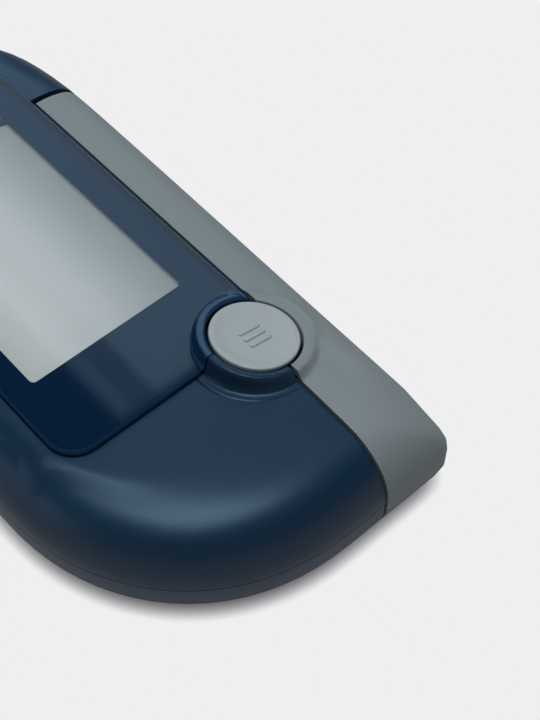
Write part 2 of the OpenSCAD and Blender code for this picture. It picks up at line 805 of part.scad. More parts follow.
// Three sprung fingers on the floor of the slot.
module strip_contacts() {
    color(gold) for (k = [-1:1])
        translate([k * contact_pitch + contact_w / 2, guide_start - 0.6, slot_z]) rotate([0, -90, 0])
            linear_extrude(contact_w) polygon([
                [0, 0], [0, -5.6], [contact_t, -5.6], [contact_t, -3.6],
                [contact_t + 0.3, -2.4], [contact_t, -1.2], [contact_t, 0]
            ]);
}

// One cell with its raised end up.
module cell() {
    r = cell_d / 2;
    shoulder = cell_l - nub_h;
    color(cell_grey) rotate_extrude($fn = 64) polygon([
        [0, 0.3], [3.4, 0.3], [3.6, 0], [r - 0.5, 0], [r, 0.5], [r, shoulder - 0.6], [r - 0.6, shoulder],
        [2.6, shoulder], [2.4, shoulder - 0.3], [1.9, shoulder - 0.3], [1.9, cell_l - 0.2],
        [1.7, cell_l], [0, cell_l]
    ]);
}
module cell_1() translate([-cell_x, nub_1 + cell_l, cell_z]) rotate([90, 0, 0]) cell();
module cell_2() translate([cell_x, nub_2 - cell_l, cell_z]) rotate([-90, 0, 0]) cell();

// Conical contact spring that stands up from its wide end.
module spring() {
    steps = SPRING_TURNS * SPRING_STEPS;
    w = spring_wire / 2;
    points = [
        for (k = [0:steps]) for (s = [0:SPRING_SIDES - 1])
            let (
                a = 360 * k / SPRING_STEPS,
                r = mix(spring_foot_r, spring_top_r, k / steps) + w * cos(360 * s / SPRING_SIDES),
                z = mix(w, spring_l - w, k / steps) + w * sin(360 * s / SPRING_SIDES)
            )
            [r * cos(a), r * sin(a), z]
    ];
    color(metal) polyhedron(points, concat(
        [for (k = [0:steps - 1]) for (s = [0:SPRING_SIDES - 1])
            let (a = k * SPRING_SIDES, t = (s + 1) % SPRING_SIDES) each [
                [a + s, a + t, a + SPRING_SIDES + t],
                [a + s, a + SPRING_SIDES + t, a + SPRING_SIDES + s]
            ]],
        [[for (s = [SPRING_SIDES - 1:-1:0]) s]],
        [[for (s = [0:SPRING_SIDES - 1]) steps * SPRING_SIDES + s]]
    ));
}
module cell_spring_1() translate([-cell_x, bay_high - plate_t, cell_z]) rotate([90, 0, 0]) spring();
module cell_spring_2() translate([cell_x, bay_low + plate_t, cell_z]) rotate([-90, 0, 0]) spring();

// Round bump that meets a cell's raised end.
module bump(x, y, turn) {
    translate([x, y, cell_z]) rotate([turn, 0, 0]) cylinder(r1 = bump_foot_r, r2 = bump_top_r, h = bump_t);
}
module plate(x0, x1, y) {
    block(x0, x1, y, y + plate_t, cell_low + 0.3, roof_low - 0.1);
}
module tail(x) {
    block(x - tail_w / 2, x + tail_w / 2, bay_high - plate_t, bay_high, roof_low - 0.2, board_z);
}
module cell_link_plate() {
    color(metal) {
        plate(-bay_half + 0.3, bay_half - 0.3, bay_low);
        bump(-cell_x, bay_low + plate_t, -90);
    }
}
module cell_positive_plate() {
    color(metal) {
        plate(0.6, bay_half - 0.3, bay_high - plate_t);
        bump(cell_x, bay_high - plate_t, 90);
        tail(cell_x);
    }
}
module cell_negative_plate() {
    color(metal) {
        plate(-bay_half + 0.3, -0.6, bay_high - plate_t);
        tail(-cell_x);
    }
}

module cell_door() {
    edge = door_high - door_gap;
    low = door_low + door_gap;
    top = door_sink + door_t;
    half = door_half - door_gap;
    color(rear_blue) difference() {
        union() {
            translate([0, 0, door_sink]) linear_extrude(door_t)
                rounded_box(-half, half, low, edge, door_r - door_gap);
            for (x = [-tab_x, tab_x]) {
                block(x - tab_w / 2, x + tab_w / 2, edge - web_t, edge, top - 0.1, tab_z + tab_t);
                block(x - tab_w / 2, x + tab_w / 2, edge - web_t, door_high + tab_reach,
                    tab_z, tab_z + tab_t);
            }
            // Latch leaf with its nose.
            block(-latch_w / 2, latch_w / 2, latch_y, latch_y + latch_t, top - 0.1, latch_top);
            translate([-latch_w / 2, latch_y, floor_t + 0.3]) rotate([90, 0, 90]) linear_extrude(latch_w)
                polygon([[0.1, 0], [-nose, 0], [0, 1.2], [0.1, 1.2]]);
        }
        // Finger grooves beside the latch.
        for (k = [0:3])
            block(-4, 4, low + 3 + k * 1.5, low + 3.7 + k * 1.5, door_sink - 1, door_sink + 0.25);
    }
}

module housing_screw(k) {
    p = SCREWS[k];
    color(metal) translate([p[0], p[1], screw_seat]) difference() {
        union() {
            translate([0, 0, -screw_head_h]) cylinder(r = screw_head_r, h = screw_head_h);
            translate([0, 0, -0.1]) cylinder(d = screw_d, h = screw_l + 0.1);
        }
        for (a = [0, 90])
            rotate([0, 0, a]) block(-1.1, 1.1, -0.25, 0.25, -screw_head_h - 1, -screw_head_h + 0.7);
    }
}

front_shell();
rear_shell();
grip_strip();
display_lens();
lcd_panel();
lcd_frame();
lcd_connector();
circuit_board();
controller_chip();
buzzer();
main_key();
key_switch();
key_switch_plunger();
set_key();
set_switch();
set_switch_plunger();
port_guide();
strip_connector();
strip_contacts();
cell_1();
cell_2();
cell_spring_1();
cell_spring_2();
cell_link_plate();
cell_positive_plate();
cell_negative_plate();
cell_door();
housing_screw(0);  // housing_screw_1
housing_screw(1);  // housing_screw_2
housing_screw(2);  // housing_screw_3
housing_screw(3);  // housing_screw_4
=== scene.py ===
import json
import math
import bmesh
import bpy
from mathutils import Matrix, Vector

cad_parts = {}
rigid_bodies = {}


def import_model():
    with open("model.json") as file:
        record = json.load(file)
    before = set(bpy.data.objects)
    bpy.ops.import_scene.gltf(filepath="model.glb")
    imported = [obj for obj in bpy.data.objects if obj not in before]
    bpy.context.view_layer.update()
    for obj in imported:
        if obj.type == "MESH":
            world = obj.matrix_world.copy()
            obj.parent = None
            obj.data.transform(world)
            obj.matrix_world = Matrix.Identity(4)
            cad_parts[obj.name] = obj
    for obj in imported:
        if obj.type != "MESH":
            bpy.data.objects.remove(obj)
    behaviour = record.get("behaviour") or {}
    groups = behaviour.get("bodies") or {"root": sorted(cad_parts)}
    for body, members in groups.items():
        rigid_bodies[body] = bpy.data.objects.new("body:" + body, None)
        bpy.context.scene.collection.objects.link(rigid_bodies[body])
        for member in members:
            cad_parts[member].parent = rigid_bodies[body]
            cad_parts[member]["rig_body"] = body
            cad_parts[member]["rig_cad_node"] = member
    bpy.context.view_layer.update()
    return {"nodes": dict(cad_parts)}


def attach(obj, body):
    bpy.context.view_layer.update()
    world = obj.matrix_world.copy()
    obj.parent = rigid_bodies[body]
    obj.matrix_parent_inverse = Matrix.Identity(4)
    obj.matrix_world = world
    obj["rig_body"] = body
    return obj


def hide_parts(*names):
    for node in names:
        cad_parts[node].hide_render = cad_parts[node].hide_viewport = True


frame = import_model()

mm = 0.001
nodes = frame["nodes"]
scene = bpy.context.scene
scene.view_settings.view_transform = 'Standard'


def hexColour(code):  # sRGB hex to linear, with alpha
    parts = [int(code[i:i + 2], 16) / 255 for i in (1, 3, 5)]
    return [p / 12.92 if p <= 0.04045 else ((p + 0.055) / 1.055) ** 2.4 for p in parts] + [1]


def addNode(tree, kind, settings={}, links={}, **options):
    node = tree.nodes.new(kind)
    for name, value in options.items():
        setattr(node, name, value)
    for name, value in settings.items():
        node.inputs[name].default_value = value
    for name, source in links.items():
        tree.links.new(source, node.inputs[name])
    return node


def newMaterial(name):
    material = bpy.data.materials.new(name)
    material.use_nodes = True
    tree = material.node_tree
    tree.nodes.clear()
    return material, tree


def finishMaterial(tree, shader):
    addNode(tree, 'ShaderNodeOutputMaterial', links={'Surface': shader})


def setRamp(node, stops):  # stops are (position, hex) pairs
    ramp = node.color_ramp
    while len(ramp.elements) < len(stops):
        ramp.elements.new(0.5)
    for element, (position, code) in zip(ramp.elements, stops):
        element.position = position
        element.color = hexColour(code)


def activate(piece):
    bpy.ops.object.select_all(action='DESELECT')
    piece.select_set(True)
    bpy.context.view_layer.objects.active = piece


def pick(kind, test):  # selects verts, edges or faces of the piece in edit mode by a test
    mesh = bmesh.from_edit_mesh(bpy.context.edit_object.data)
    for item in list(mesh.faces) + list(mesh.edges) + list(mesh.verts):
        item.select = False
    for item in getattr(mesh, kind):
        if test(item):
            item.select_set(True)
    bmesh.update_edit_mesh(bpy.context.edit_object.data)


def extrudeUp(height):  # in mm
    bpy.ops.mesh.extrude_region_move(TRANSFORM_OT_translate={"value": (0, 0, height * mm)})


def settle(piece, angle=35):  # place goes into the mesh, shading smooth up to an angle
    if bpy.context.mode != 'OBJECT':
        bpy.ops.object.mode_set(mode='OBJECT')
    activate(piece)
    bpy.ops.object.transform_apply(location=True, rotation=True, scale=True)
    bpy.ops.object.shade_smooth_by_angle(angle=math.radians(angle))


def fromNode(nodeName, pieceName):  # merged copy of a CAD node's mesh, as a piece of its own
    piece = nodes[nodeName].copy()
    piece.data = nodes[nodeName].data.copy()
    piece.name = pieceName
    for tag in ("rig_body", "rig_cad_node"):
        del piece[tag]
    piece.parent = None
    scene.collection.objects.link(piece)
    activate(piece)
    bpy.ops.object.mode_set(mode='EDIT')
    bpy.ops.mesh.customdata_custom_splitnormals_clear()
    bpy.ops.mesh.select_all(action='SELECT')
    bpy.ops.mesh.remove_doubles(threshold=0.002 * mm)
    bpy.ops.object.mode_set(mode='OBJECT')
    return piece


def place(piece, body, slot, material, *replaced):
    piece.data.materials.clear()
    piece.data.materials.append(material)
    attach(piece, body)
    if replaced:
        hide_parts(*replaced)


# the photograph's viewing angle, from the front left corner
cameraSpot = {"place": (-0.0551, -0.1064, 0.1593), "aim": (0.3815, 0.4312, -0.8177), "lens": 69.95}
bpy.ops.object.camera_add(location=cameraSpot["place"],
                          rotation=Vector(cameraSpot["aim"]).to_track_quat('-Z', 'Y').to_euler())
camera = bpy.context.object
camera.data.lens = cameraSpot["lens"]
camera.data.clip_start = 0.005
scene.camera = camera

# strengths are radiance: 1 is the white of the page; the lamps with a tint are only seen in mirrors and highlights
studio = {"background": "#efefef", "fill": 0.26, "room": 0.03, "table": 0.15, "floorMirror": 0.35,
          "daylight": "#c0e4ff",
          "overhead": {"centre": (0.10, 0.12, 0.76), "size": (0.8, 0.8), "strength": 3.0},
          "mirrored": {"lampTop": {"centre": (-0.09, -0.10, 0.517), "size": (0.33, 0.33), "strength": 4.2},
                       "lampPanel": {"centre": (0.484, 0.757, 0.517), "size": (0.60, 1.0), "strength": 1.5},
                       "lampSlit": {"centre": (0.163, 0.757, 0.517), "size": (0.011, 1.0), "strength": 0.9},
                       "lampFaint": {"centre": (0.177, 0.757, 0.5175), "size": (0.016, 1.0), "strength": 0.6},
                       "lampLeft": {"centre": (-0.9, 0.40, 0.26), "size": (0.8, 0.45), "strength": 0.6,
                                    "aim": (0, 0.2, 0.1)}}}


def buildWorld():
    world = bpy.data.worlds.new("lightTent")
    scene.world = world
    world.use_nodes = True
    tree = world.node_tree
    tree.nodes.clear()
    path = addNode(tree, 'ShaderNodeLightPath')
    seen = addNode(tree, 'ShaderNodeMath', links={0: path.outputs['Is Camera Ray'],
                                                  1: path.outputs['Is Transmission Ray']}, operation='MAXIMUM')
    pale = addNode(tree, 'ShaderNodeBackground', {'Color': hexColour(studio["background"]), 'Strength': 1})
    fill = addNode(tree, 'ShaderNodeBackground', {'Color': hexColour("#f4f6fa"), 'Strength': studio["fill"]})
    # mirrors see the pale table's far edge low down and the dark room above it
    where = addNode(tree, 'ShaderNodeTexCoord').outputs['Generated']
    height = addNode(tree, 'ShaderNodeSeparateXYZ', links={0: where})
    level = addNode(tree, 'ShaderNodeMapRange', {1: 0.05, 2: 0.45, 3: studio["table"], 4: studio["room"]},
                    {0: height.outputs['Z']}, interpolation_type='SMOOTHSTEP')
    room = addNode(tree, 'ShaderNodeBackground', {'Color': hexColour("#eef2f6")}, {'Strength': level.outputs[0]})
    lit = addNode(tree, 'ShaderNodeMixShader', links={0: path.outputs['Is Glossy Ray'], 1: fill.outputs[0],
                                                      2: room.outputs[0]})
    both = addNode(tree, 'ShaderNodeMixShader', links={0: seen.outputs[0], 1: lit.outputs[0], 2: pale.outputs[0]})
    addNode(tree, 'ShaderNodeOutputWorld', links={'Surface': both.outputs[0]})


def buildFloor():
    bpy.ops.mesh.primitive_plane_add(size=6, location=(0, 0, 0))
    floor = bpy.context.object
    floor.name = "floor"
    material, tree = newMaterial("paperSweep")
    # painted contact shadow: for all but diffuse rays the floor shows a flat colour that darkens by ambient
    # occlusion near the object
    contact = addNode(tree, 'ShaderNodeAmbientOcclusion', {'Distance': 3 * mm}, samples=16)
    shade = addNode(tree, 'ShaderNodeValToRGB', links={0: contact.outputs['AO']})
    setRamp(shade, ((0.25, "#494748"), (0.5, "#939294"), (0.68, "#c6c7ca"), (0.86, studio["background"])))
    flat = addNode(tree, 'ShaderNodeEmission', links={'Color': shade.outputs[0]})
    paper = addNode(tree, 'ShaderNodeBsdfDiffuse', {'Color': hexColour("#b4b4b4")})
    path = addNode(tree, 'ShaderNodeLightPath')
    shown = addNode(tree, 'ShaderNodeMapRange', {3: 1, 4: studio["floorMirror"]}, {0: path.outputs['Is Glossy Ray']})
    tree.links.new(shown.outputs[0], flat.inputs['Strength'])
    both = addNode(tree, 'ShaderNodeMixShader', links={0: path.outputs['Is Diffuse Ray'], 1: flat.outputs[0],
                                                       2: paper.outputs[0]})
    finishMaterial(tree, both.outputs[0])
    floor.data.materials.append(material)


def addLamp(name, spot, mirrorOnly=False):  # an area lamp of a plain radiance
    centre, size = Vector(spot["centre"]), spot["size"]
    target = Vector(spot.get("aim", centre - Vector((0, 0, 1))))
    bpy.ops.object.light_add(type='AREA', location=centre)
    lamp = bpy.context.object
    lamp.name = name
    lamp.rotation_euler = (target - centre).to_track_quat('-Z', 'Y').to_euler()
    lamp.data.shape = 'RECTANGLE'
    lamp.data.size, lamp.data.size_y = size
    lamp.data.energy = spot["strength"] * math.pi * size[0] * size[1]
    lamp.data.color = hexColour(studio["daylight"] if mirrorOnly else "#ffffff")[:3]
    lamp.visible_glossy = mirrorOnly
    lamp.visible_diffuse = not mirrorOnly


buildWorld()
buildFloor()
addLamp("lampOverhead", studio["overhead"])
for lampName, spot in studio["mirrored"].items():
    addLamp(lampName, spot, mirrorOnly=True)
print("studio ready")


def mouldedPlastic(name, colour, deep, roughness, grain, bump, specular=0.5):
    # spark-eroded mould skin: fine even grain that breaks the highlight into tiny glints
    material, tree = newMaterial(name)
    where = addNode(tree, 'ShaderNodeTexCoord').outputs['Object']
    drift = addNode(tree, 'ShaderNodeTexNoise', {'Scale': 1 / (14 * mm), 'Detail': 2}, {'Vector': where})
    tone = addNode(tree, 'ShaderNodeMix', {6: hexColour(colour), 7: hexColour(deep)},
                   {0: drift.outputs['Fac']}, data_type='RGBA')
    skin = addNode(tree, 'ShaderNodeTexNoise', {'Scale': 1 / (grain * mm), 'Detail': 3, 'Roughness': 0.6},
                   {'Vector': where})
    rough = addNode(tree, 'ShaderNodeMapRange', {1: 0.3, 2: 0.7, 3: roughness - 0.05, 4: roughness + 0.05},
                    {0: skin.outputs['Fac']})
    relief = addNode(tree, 'ShaderNodeBump', {'Strength': bump, 'Distance': 0.02 * mm},
                     {'Height': skin.outputs['Fac']})
    surface = addNode(tree, 'ShaderNodeBsdfPrincipled', {'IOR': 1.52, 'Specular IOR Level': specular},
                      {'Base Color': tone.outputs[2], 'Roughness': rough.outputs[0], 'Normal': relief.outputs[0]})
    finishMaterial(tree, surface.outputs[0])
    return material


def glossyPlastic(name, colour, deep, roughness=0.06, specular=0.5):
    # polished tool steel leaves a mirror skin with a slow ripple from the melt's flow
    material, tree = newMaterial(name)
    where = addNode(tree, 'ShaderNodeTexCoord').outputs['Object']
    flow = addNode(tree, 'ShaderNodeTexNoise', {'Scale': 1 / (6 * mm), 'Detail': 1}, {'Vector': where})
    tone = addNode(tree, 'ShaderNodeMix', {6: hexColour(colour), 7: hexColour(deep)},
                   {0: flow.outputs['Fac']}, data_type='RGBA')
    relief = addNode(tree, 'ShaderNodeBump', {'Strength': 0.04, 'Distance': 0.02 * mm},
                     {'Height': flow.outputs['Fac']})
    surface = addNode(tree, 'ShaderNodeBsdfPrincipled', {'IOR': 1.49, 'Roughness': roughness,
                                                         'Specular IOR Level': specular},
                      {'Base Color': tone.outputs[2], 'Normal': relief.outputs[0]})
    finishMaterial(tree, surface.outputs[0])
    return material


def clearAcrylic(name, mirrored=True):
    # polished lens face: clear, with the mirror of the lamps on it; its underside has no mirror of its own
    material, tree = newMaterial(name)
    where = addNode(tree, 'ShaderNodeTexCoord').outputs['Object']
    haze = addNode(tree, 'ShaderNodeTexNoise', {'Scale': 1 / (9 * mm), 'Detail': 1}, {'Vector': where})
    tint = addNode(tree, 'ShaderNodeMix', {6: (0.985, 0.99, 0.995, 1), 7: (0.965, 0.975, 0.985, 1)},
                   {0: haze.outputs['Fac']}, data_type='RGBA')
    clear = addNode(tree, 'ShaderNodeBsdfTransparent', links={'Color': tint.outputs[2]})
    if mirrored:
        edge = addNode(tree, 'ShaderNodeFresnel', {'IOR': 1.49})
        ripple = addNode(tree, 'ShaderNodeBump', {'Strength': 0.03, 'Distance': 0.02 * mm},
                         {'Height': haze.outputs['Fac']})
        mirror = addNode(tree, 'ShaderNodeBsdfGlossy', {'Color': (1, 1, 1, 1), 'Roughness': 0.05},
                         {'Normal': ripple.outputs[0]})
        clear = addNode(tree, 'ShaderNodeMixShader', links={0: edge.outputs[0], 1: clear.outputs[0],
                                                            2: mirror.outputs[0]})
    finishMaterial(tree, clear.outputs[0])
    return material


def panelFace(name):
    # liquid crystal panel at rest: grey green behind its polariser, with painted light and shade across it: lightest
    # left of the middle, darker towards the right edge as a painted shadow of the window's border
    material, tree = newMaterial(name)
    where = addNode(tree, 'ShaderNodeTexCoord').outputs['Object']
    across = addNode(tree, 'ShaderNodeSeparateXYZ', links={0: where})
    along = addNode(tree, 'ShaderNodeMapRange', {1: -14 * mm, 2: 11 * mm, 3: 0, 4: 1}, {0: across.outputs['X']})
    # painted light and shade: lightest left of the middle, then darker towards the panel's right edge, a painted
    # shadow of the window's border
    tone = addNode(tree, 'ShaderNodeValToRGB', links={0: along.outputs[0]})
    setRamp(tone, ((0, "#b4bab6"), (0.3, "#bfc4c3"), (0.62, "#b1b5b4"), (0.86, "#969d9c"), (1, "#8c9190")))
    grit = addNode(tree, 'ShaderNodeTexNoise', {'Scale': 1 / (0.3 * mm)}, {'Vector': where})
    relief = addNode(tree, 'ShaderNodeBump', {'Strength': 0.1, 'Distance': 0.01 * mm},
                     {'Height': grit.outputs['Fac']})
    surface = addNode(tree, 'ShaderNodeBsdfPrincipled', {'Roughness': 0.45, 'IOR': 1.5, 'Specular IOR Level': 0.1},
                      {'Base Color': tone.outputs[0], 'Normal': relief.outputs[0]})
    finishMaterial(tree, surface.outputs[0])
    return material


def bareMetal(name, colour, roughness, streak):
    # drawn or stamped sheet: fine lines along the way it was drawn
    material, tree = newMaterial(name)
    where = addNode(tree, 'ShaderNodeTexCoord').outputs['Object']
    stretch = addNode(tree, 'ShaderNodeMapping', {'Scale': (1, streak, 1)}, {'Vector': where})
    lines = addNode(tree, 'ShaderNodeTexNoise', {'Scale': 1 / (0.25 * mm), 'Detail': 2},
                    {'Vector': stretch.outputs[0]})
    rough = addNode(tree, 'ShaderNodeMapRange', {3: roughness - 0.08, 4: roughness + 0.1},
                    {0: lines.outputs['Fac']})
    surface = addNode(tree, 'ShaderNodeBsdfPrincipled', {'Base Color': hexColour(colour), 'Metallic': 1},
                      {'Roughness': rough.outputs[0]})
    finishMaterial(tree, surface.outputs[0])
    return material


def boardLaminate(name):
    # FR4 under green resist, with copper areas a shade lighter beneath
    material, tree = newMaterial(name)
    where = addNode(tree, 'ShaderNodeTexCoord').outputs['Object']
    areas = addNode(tree, 'ShaderNodeTexVoronoi', {'Scale': 1 / (4 * mm)}, {'Vector': where},
                    distance='CHEBYCHEV')
    tone = addNode(tree, 'ShaderNodeValToRGB', links={0: areas.outputs['Distance']})
    tone.color_ramp.interpolation = 'CONSTANT'
    setRamp(tone, ((0, "#2f7a4c"), (0.42, "#1d5a38")))
    surface = addNode(tree, 'ShaderNodeBsdfPrincipled', {'Roughness': 0.35}, {'Base Color': tone.outputs[0]})
    finishMaterial(tree, surface.outputs[0])
    return material


housingBlue = mouldedPlastic("mouldedAbsNavy", "#082840", "#07263d", 0.34, 0.22, 0.5)
rearBlue = mouldedPlastic("mouldedAbsRear", "#14304c", "#122d48", 0.38, 0.22, 0.4)
stripGrey = mouldedPlastic("mouldedTpeGrey", "#747e81", "#717b7e", 0.5, 0.16, 0.3, 0.4)
keyGrey = mouldedPlastic("mouldedAbsKey", "#969fa1", "#929b9d", 0.38, 0.2, 0.2)
lensBlue = glossyPlastic("tintedAcrylic", "#122f4c", "#0f2a46")
printNavy = glossyPlastic("screenPrintNavy", "#06213b", "#062039", 0.6, 0.0)
lensClear = clearAcrylic("polishedAcrylic")
lensUnder = clearAcrylic("acrylicUnderside", mirrored=False)
lcdFace = panelFace("crystalPanel")
whiteAbs = mouldedPlastic("mouldedAbsWhite", "#dcddd9", "#d4d5d1", 0.4, 0.3, 0.2)
blackNylon = mouldedPlastic("mouldedNylonBlack", "#26282a", "#1f2123", 0.5, 0.3, 0.3)
# painted shade: a near black for the cap's skirt and flange, standing for the shade in the gap round the key
keyGapShadeBlack = mouldedPlastic("paintedGapShadeBlack", "#101214", "#0c0d0f", 0.6, 0.3, 0.3, 0.2)
resistGreen = boardLaminate("laminateGreen")
goldPlate = bareMetal("goldPlate", "#d9b25e", 0.22, 6)
nickel = bareMetal("nickelSteel", "#c3c4c2", 0.28, 6)
screwSteel = bareMetal("zincScrewSteel", "#a7a9aa", 0.34, 1)
cellJacket = mouldedPlastic("printedCellJacket", "#6d7479", "#5f666b", 0.25, 0.5, 0.1)
print("materials ready")

for nodeName, pieceName, slot, material in (
        ("front_shell", "frontShell", "shell_plastic", housingBlue),
        ("rear_shell", "rearShell", "shell_plastic", rearBlue),
        ("grip_strip", "gripStrip", "grip_plastic", stripGrey)):
    shell = fromNode(nodeName, pieceName)
    settle(shell, 32)
    place(shell, "housing", slot, material, nodeName)
door = fromNode("cell_door", "cellDoor")
settle(door, 32)
place(door, "cell_door", "shell_plastic", rearBlue, "cell_door")
print("housing built")

# lens and window are (left, right, foot, head) in mm; the print lies just inside the lens's underside
display = {"low": 15.6, "top": 17.0, "lens": (-16.7, 15.7, -26.9, 35.0), "window": (-12.6, 11.3, -13.9, 28.9),
           "lensRound": 4.2, "windowRound": 0.7, "print": 0.05, "printLift": 0.02, "printMargin": 0.2}


def buildPrint():
    left, right, foot, head = display["lens"]
    winLeft, winRight, winFoot, winHead = display["window"]
    bpy.ops.object.select_all(action='DESELECT')
    bpy.ops.mesh.primitive_plane_add(size=1, location=((left + right) / 2 * mm, (foot + head) / 2 * mm,
                                                       (display["low"] + display["printLift"]) * mm))
    sheet = bpy.context.object
    sheet.name = "lensPrint"
    sheet.scale = ((right - left - display["printMargin"]) * mm, (head - foot - display["printMargin"]) * mm, 1)
    bpy.ops.object.transform_apply(location=True, rotation=True, scale=True)
    bpy.ops.object.mode_set(mode='EDIT')
    # cut along the window's four sides, then drop the pane between them
    for x, y, normal in ((winLeft, 0, (1, 0, 0)), (winRight, 0, (1, 0, 0)), (0, winFoot, (0, 1, 0)),
                         (0, winHead, (0, 1, 0))):
        bpy.ops.mesh.select_all(action='SELECT')
        bpy.ops.mesh.bisect(plane_co=(x * mm, y * mm, 0), plane_no=normal)
    middle = Vector(((winLeft + winRight) / 2 * mm, (winFoot + winHead) / 2 * mm))
    bpy.ops.mesh.select_mode(type='FACE')
    pick("faces", lambda face: (face.calc_center_median().xy - middle).length < 0.1 * mm)
    bpy.ops.mesh.delete(type='FACE')
    bpy.ops.mesh.select_mode(type='VERT')  # outer corners first, then the window's
    pick("verts", lambda vert: len(vert.link_faces) == 1)
    bpy.ops.mesh.bevel(offset=display["lensRound"] * mm, segments=12, affect='VERTICES')
    pick("verts", lambda vert: min(abs(vert.co.x / mm - winLeft), abs(vert.co.x / mm - winRight)) < 0.01
         and min(abs(vert.co.y / mm - winFoot), abs(vert.co.y / mm - winHead)) < 0.01)
    bpy.ops.mesh.bevel(offset=display["windowRound"] * mm, segments=6, affect='VERTICES')
    bpy.ops.mesh.select_all(action='SELECT')
    extrudeUp(display["print"])
    bpy.ops.mesh.select_all(action='SELECT')
    bpy.ops.mesh.normals_make_consistent(inside=False)
    settle(sheet)
    return sheet


lens = fromNode("display_lens", "displayLens")
settle(lens, 40)
place(lens, "housing", "lens_plastic", lensBlue, "display_lens")
lens.data.materials.append(lensClear)
lens.data.materials.append(lensUnder)
for face in lens.data.polygons:  # walls keep the blue, the flat top and the underside are clear
    if face.normal.z > 0.999 and abs(face.center.z / mm - display["top"]) < 0.01:
        face.material_index = 1
    if face.normal.z < -0.99:
        face.material_index = 2
sheet = buildPrint()
place(sheet, "housing", "lens_plastic", printNavy)
print("display built")

# the key is modelled flat round the origin and then set on its slope
key = {"centre": (12.18, -27.46, 17.6), "tilt": 11.8, "radius": 5.87, "rim": 0.2, "flange": 6.95,
       "depth": 1.6, "flangeDepth": 2.15, "flangeThick": 0.55, "shade": 0.55,
       # the dish's rings: how far in, and how far down
       "rings": ((0.55, 0), (0.25, 0.02), (0.35, 0.07), (0.45, 0.06), (0.7, 0.045), (1.2, 0.02)), "dish": 0.22,
       "bars": ((0, 1.15), (0, 0), (0, -1.15)), "barSize": (3.5, 0.6, 0.5), "barRise": 0.2, "barEdge": 0.08}


def keyFrame():
    return Matrix.Translation(Vector(key["centre"]) * mm) @ Matrix.Rotation(math.radians(key["tilt"]), 4, 'Y')


def buildKey():
    bpy.ops.object.select_all(action='DESELECT')
    bpy.ops.mesh.primitive_circle_add(vertices=128, radius=key["flange"] * mm, fill_type='NGON',
                                      location=(0, 0, -key["flangeDepth"] * mm))
    cap = bpy.context.object
    cap.name = "mainKey"
    bpy.ops.object.transform_apply(location=True, rotation=True, scale=True)
    bpy.ops.object.mode_set(mode='EDIT')
    bpy.ops.mesh.select_mode(type='FACE')
    bpy.ops.mesh.select_all(action='SELECT')
    extrudeUp(key["flangeThick"])
    bpy.ops.mesh.inset(thickness=(key["flange"] - key["radius"]) * mm)
    extrudeUp(key["depth"] - key["shade"])
    extrudeUp(key["shade"])
    # rim, then the dish in rings that ease down to its floor
    for width, drop in key["rings"]:
        bpy.ops.mesh.inset(thickness=width * mm)
        bpy.ops.transform.translate(value=(0, 0, -drop * mm))
    bpy.ops.mesh.select_mode(type='EDGE')
    pick("edges", lambda edge: all(abs(v.co.xy.length - key["radius"] * mm) < 0.01 * mm and v.co.z > -0.2 * mm
                                   for v in edge.verts))
    bpy.ops.mesh.bevel(offset=key["rim"] * mm, segments=6, profile=0.5)
    bpy.ops.mesh.select_all(action='SELECT')
    bpy.ops.mesh.normals_make_consistent(inside=False)
    bpy.ops.object.mode_set(mode='OBJECT')
    # faces below the shade depth take the painted shade
    shaded = [face.center.z < -key["shade"] * mm for face in cap.data.polygons]
    cap.data.transform(keyFrame())
    settle(cap, 40)
    return cap, shaded


def buildBar(x, y, number):
    length, width, height = key["barSize"]
    top = key["barRise"] - key["dish"]
    bpy.ops.object.select_all(action='DESELECT')
    bpy.ops.mesh.primitive_cube_add(size=1, location=(x * mm, y * mm, (top - height / 2) * mm))
    bar = bpy.context.object
    bar.name = "keyMark%d" % number
    bar.scale = (length * mm, width * mm, height * mm)
    bpy.ops.object.transform_apply(location=True, rotation=True, scale=True)
    bpy.ops.object.mode_set(mode='EDIT')
    bpy.ops.mesh.select_mode(type='EDGE')
    pick("edges", lambda edge: abs(edge.verts[0].co.z - edge.verts[1].co.z) > 0.1 * mm)
    bpy.ops.mesh.bevel(offset=width * 0.48 * mm, segments=6)  # nearly half the width: round ends
    pick("edges", lambda edge: all(v.co.z > (top - 0.01) * mm for v in edge.verts))
    bpy.ops.mesh.bevel(offset=key["barEdge"] * mm, segments=3)
    bpy.ops.object.mode_set(mode='OBJECT')
    bar.data.transform(keyFrame())
    settle(bar, 50)
    return bar


# raised collar round the key's bore: a flat band, a soft crest and a slope that eases into the face;
# radii from the key's centre, and places of the cuts where shell, lens and grip strip meet
collar = {"bore": 6.3, "round": 0.1, "rise": -0.1, "depth": 1.3, "sides": 240, "steps": 20,
          # crest, foot and how soon the slope falls
          "shell": (7.15, 9.1, 3.4), "lens": (7.3, 8.15, 1), "strip": (7.45, 9.05, 2.2),
          "shellRight": 12.05, "shellHigh": -27.05, "lensRight": 15.7, "lensLow": -26.9,
          # the strip's left edge below and above the join of its halves, and how far the join lies above the centre
          "stripLeft": (12.6, 16.37), "stripJoin": 2,
          # where the faces beside it are measured, and the part of the plain collar that makes way
          "beside": (9.3, 9.9), "shellClear": -32.4, "flat": 16.35, "opening": (6.3, 8.95), "openDepth": -4}


def faceHeight(surface, x, y):  # height of a face beside the collar, looked down on from above
    hit, spot, normal, face = surface.ray_cast(Vector((x, y, 0.03)), Vector((0, 0, -1)))
    return spot.z if hit else collar["flat"] * mm


